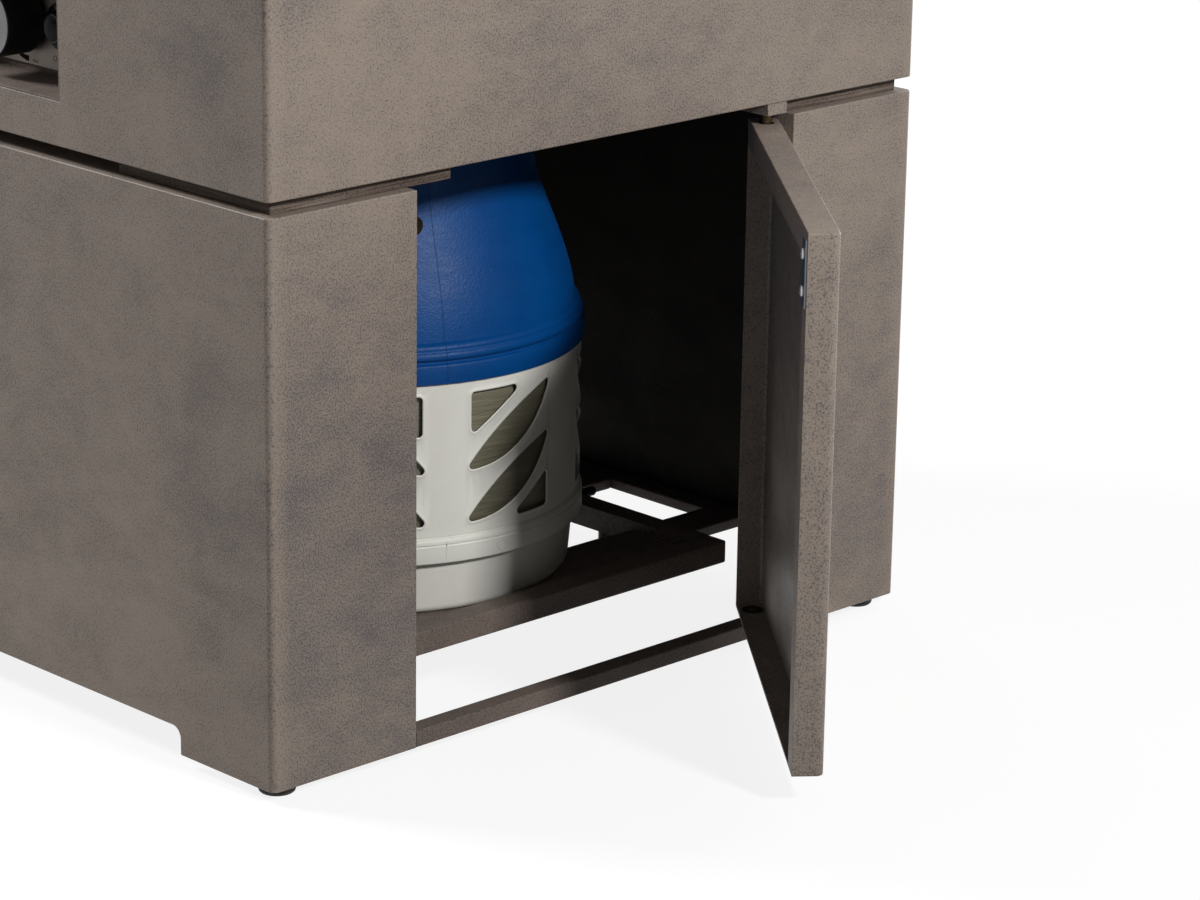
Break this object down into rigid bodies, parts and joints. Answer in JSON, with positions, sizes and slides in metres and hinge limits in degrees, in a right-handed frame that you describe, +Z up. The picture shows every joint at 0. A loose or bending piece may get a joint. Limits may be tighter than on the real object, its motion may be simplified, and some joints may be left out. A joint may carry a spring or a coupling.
{
  "type": "gas fire pit table",
  "caption": "Square sheet-metal gas fire pit table: burner tray and lava rocks above a shadow gap, and a cabinet with a pivoting door over a composite gas cylinder.",
  "frame": {"origin": "on the floor under the middle of the square table", "axes": "+Z up; the door faces -Y and the control recess faces -X"},
  "size_m": [0.6, 0.8416, 0.6],
  "materials": {
    "coat": "matt taupe powder coat with a fine dark speckle and a cloudy mottle",
    "inner_coat": "matt taupe powder coat without the mottle",
    "glide_rubber": "moulded, matt",
    "plain_steel": "zinc plated, satin",
    "stainless": "brushed",
    "brass": "turned, slightly dull",
    "black_plastic": "moulded, satin",
    "gloss_black": "polished",
    "lead_sheath": "smooth sheath",
    "white_ceramic": "unglazed white",
    "copper_lead": "drawn tube, slightly dull",
    "lava_stone": "rough and porous",
    "white_plastic": "moulded, fine texture",
    "blue_plastic": "moulded, fine texture",
    "wound_composite": "wound fibre under clear resin"
  },
  "bodies": {
    "table": {"base_left_panel": "coat", "base_right_panel": "coat", "base_back_panel": "coat", "bottom_rail": "coat", "foot_plates": "inner_coat", "foot_glides": "glide_rubber", "back_rivets": "plain_steel", "floor_front_bar": "inner_coat", "floor_rear_bar": "inner_coat", "floor_left_rail": "inner_coat", "floor_right_rail": "inner_coat", "shelf_standoffs": "inner_coat", "shelf_front_bar": "inner_coat", "shelf_rear_bar": "inner_coat", "shelf_left_bar": "inner_coat", "shelf_right_bar": "inner_coat", "shelf_ledges": "inner_coat", "spacer_front_left": "inner_coat", "spacer_front_right": "inner_coat", "spacer_rear_left": "inner_coat", "spacer_rear_right": "inner_coat", "pivot_block": "coat", "pivot_pin_top": "brass", "pivot_pin_bottom": "brass", "catch_bracket": "inner_coat", "catch_magnet": "plain_steel", "housing_wrap": "coat", "housing_back_panel": "coat", "table_top": "coat", "recess_box": "coat", "control_plate": "stainless", "control_plate_screws": "plain_steel", "control_valve": "brass", "igniter_bezel": "black_plastic", "piezo_igniter": "black_plastic", "gas_feed_pipe": "stainless", "ignition_lead": "lead_sheath", "burner_tray": "stainless", "burner_ring": "stainless", "burner_nut": "stainless", "burner_mixer": "brass", "spark_electrode": "white_ceramic", "thermocouple": "copper_lead", "burner_grate": "stainless", "lava_rocks": "lava_stone", "cylinder_foot": "white_plastic", "cylinder_vessel": "wound_composite", "cylinder_casing": "white_plastic", "cylinder_shroud": "blue_plastic", "cylinder_collar": "blue_plastic", "cylinder_valve": "brass"},
    "door": {"door_pan": "coat", "door_bushes": "black_plastic", "keeper_plate": "plain_steel", "keeper_screws": "plain_steel"},
    "knob_slider": {"stem_collar": "plain_steel"},
    "knob": {"control_knob": "black_plastic", "valve_stem": "plain_steel"},
    "igniter": {"igniter_button": "gloss_black"},
    "handwheel": {"valve_handwheel": "black_plastic"}
  },
  "joints": [
    {"name": "door_hinge", "type": "hinge", "parent": "table", "child": "door", "pos_m": [0.1585, -0.2895, 0.2], "axis": [0, 0, 1], "range_deg": [-50, 60]},
    {"name": "knob_push", "type": "slide", "parent": "table", "child": "knob_slider", "axis": [1, 0, 0], "range_m": [0, 0.004], "stiffness_N_per_m": 900, "springref_m": -0.002},
    {"name": "knob_turn", "type": "hinge", "parent": "knob_slider", "child": "knob", "pos_m": [-0.27, 0, 0.467], "axis": [-1, 0, 0], "range_deg": [0, 180]},
    {"name": "igniter_push", "type": "slide", "parent": "table", "child": "igniter", "axis": [1, 0, 0], "range_m": [0, 0.005], "stiffness_N_per_m": 1200, "springref_m": -0.001},
    {"name": "wheel_turn", "type": "hinge", "parent": "table", "child": "handwheel", "pos_m": [-0.025, -0.081, 0.41], "axis": [0, 0, 1], "range_deg": [0, 540]}
  ]
}
